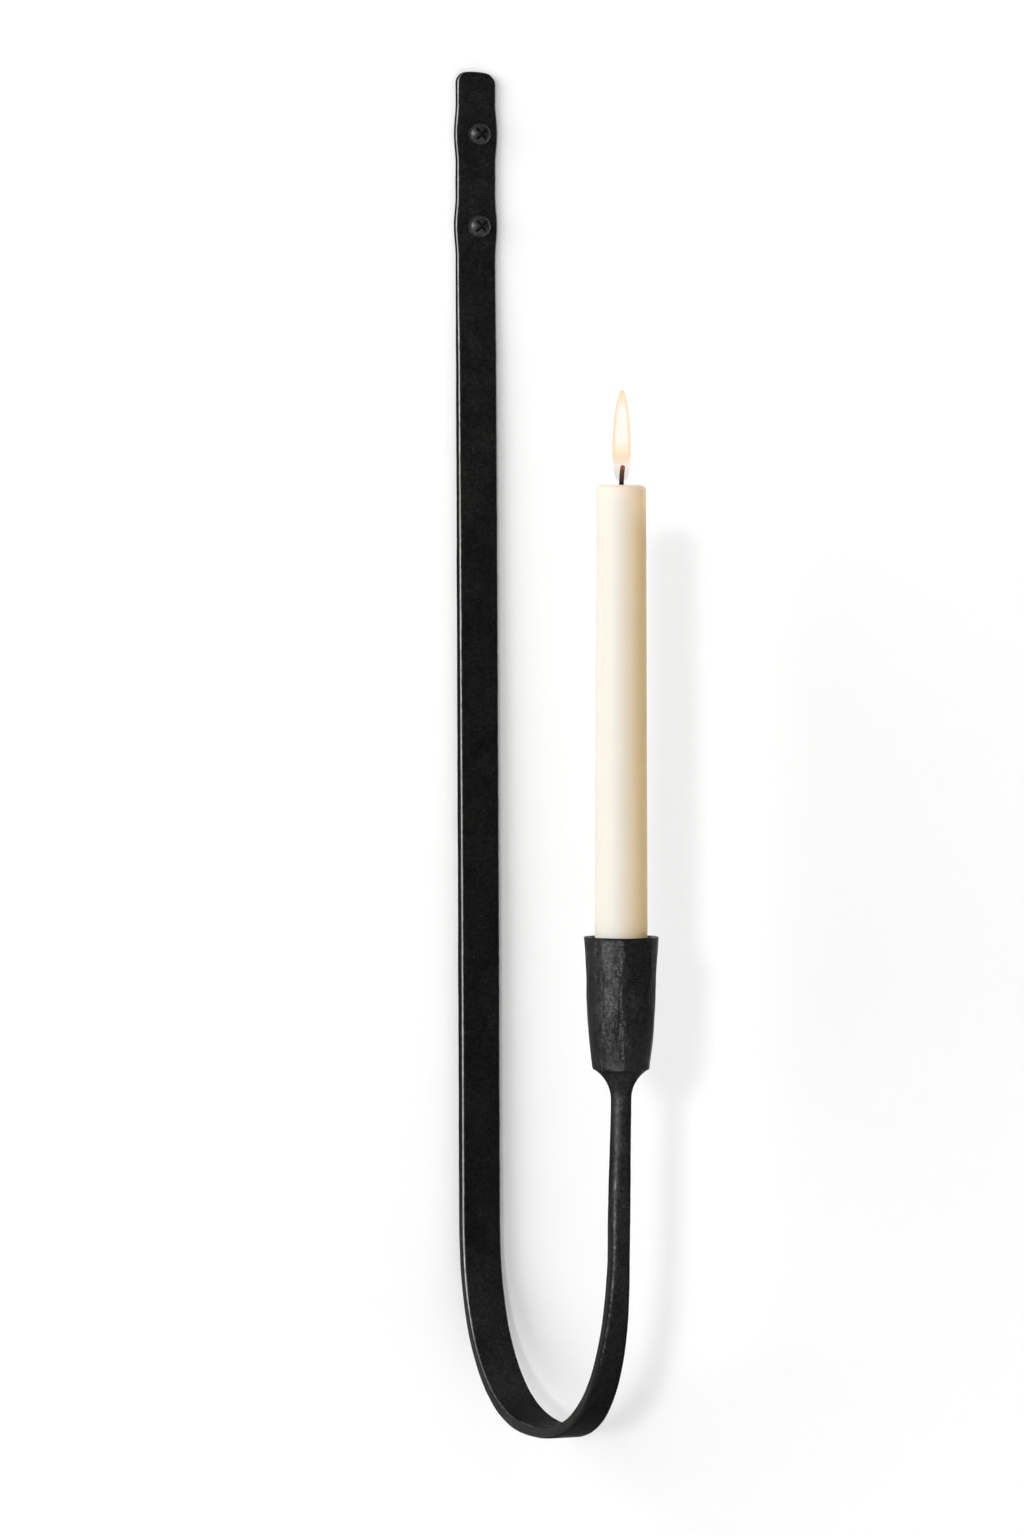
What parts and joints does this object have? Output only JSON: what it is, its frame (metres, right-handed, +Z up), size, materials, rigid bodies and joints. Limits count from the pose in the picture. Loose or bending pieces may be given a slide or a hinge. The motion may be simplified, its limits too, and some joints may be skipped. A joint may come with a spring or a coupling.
{
  "type": "taper candle wall sconce",
  "caption": "Hand-forged iron wall hook that turns forward in a narrow loop and rises to a tapered cup holding a taper candle, fixed to the wall by screws.",
  "frame": {"origin": "on the wall face of the strap's pad, at the strap's centreline, midway in height between the two screws", "axes": "+Y into the wall, so the room is on the -Y side; +Z up along the strap and the candle; X across the strap"},
  "size_m": [0.0322, 0.2089, 0.598],
  "materials": {
    "forged_iron": "satin black over hammered iron, worn a little brighter on the arrises",
    "screw_black": "semi-gloss black",
    "wax": "smooth ivory wax, soft sheen",
    "wick_cord": "charred braided cotton"
  },
  "bodies": {
    "sconce": {"forged_strap": "forged_iron", "candle_cup": "forged_iron", "upper_screw": "screw_black", "lower_screw": "screw_black"},
    "candle": {"candle": "wax", "wick": "wick_cord"}
  },
  "joints": [
    {"name": "candle_lift", "type": "slide", "parent": "sconce", "child": "candle", "axis": [0, 0, 1], "range_m": [0, 0.06]}
  ]
}
